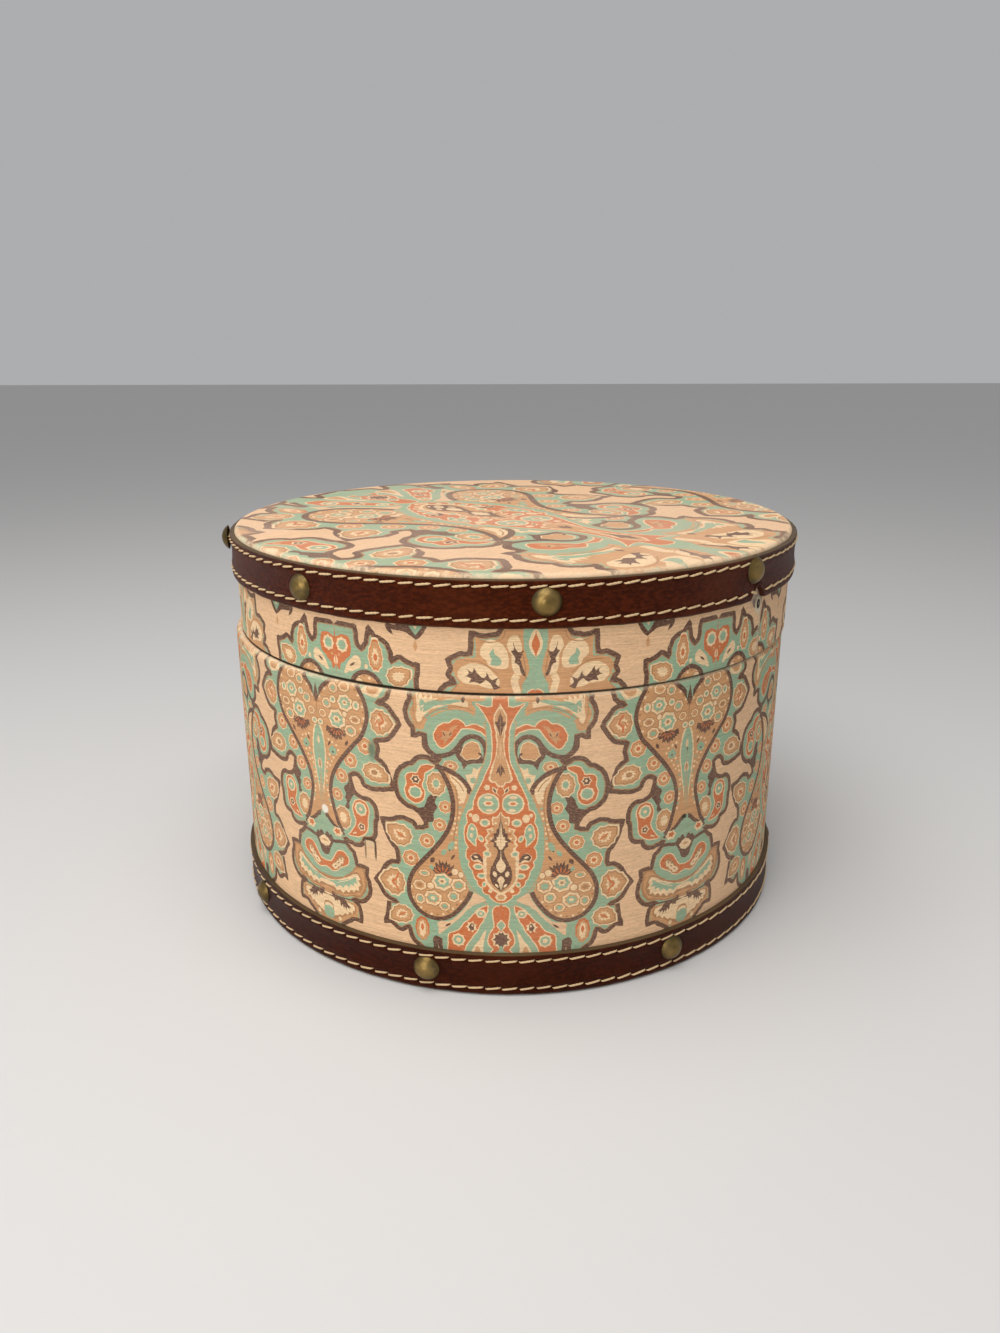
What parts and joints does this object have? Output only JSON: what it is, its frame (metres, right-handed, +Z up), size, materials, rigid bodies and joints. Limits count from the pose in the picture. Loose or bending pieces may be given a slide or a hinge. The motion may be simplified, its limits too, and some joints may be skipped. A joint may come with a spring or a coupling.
{
  "type": "round collar box",
  "caption": "Round cloth-covered box with a lift-off lid that fits over an inner collar, and stitched leather straps held by domed tacks.",
  "frame": {"origin": "on the table, on the axis of the round body", "axes": "+Z up along the body's axis, -Y towards the viewer of the front, +X to the right"},
  "size_m": [0.2586, 0.2575, 0.1675],
  "materials": {
    "board": "bare wood-fibre board and bent wood, hidden under cloth and lining",
    "paper": "matt dark kraft paper",
    "printed_cloth": "slubbed plain-weave cloth with a printed paisley in plum, aqua, orange and tan",
    "lining": "plain matt lining cloth",
    "leather": "reddish-brown pebbled leather with a low sheen",
    "thread": "twisted waxed cream thread",
    "brass": "antiqued brass with an olive patina"
  },
  "bodies": {
    "box": {"body_hoop": "board", "base_board": "board", "under_paper": "paper", "body_cloth": "printed_cloth", "collar": "board", "collar_lining": "lining", "floor_lining": "lining", "base_strap": "leather", "base_stitches_upper": "thread", "base_stitches_lower": "thread", "base_tacks": "brass"},
    "lid": {"lid_hoop": "board", "lid_board": "board", "lid_top_cloth": "printed_cloth", "lid_side_cloth": "printed_cloth", "lid_side_lining": "lining", "lid_top_lining": "lining", "lid_strap": "leather", "lid_stitches_upper": "thread", "lid_stitches_lower": "thread", "lid_tacks": "brass"}
  },
  "joints": [
    {"name": "lid_lift", "type": "slide", "parent": "box", "child": "lid", "axis": [0, 0, 1], "range_m": [0, 0.09]}
  ]
}
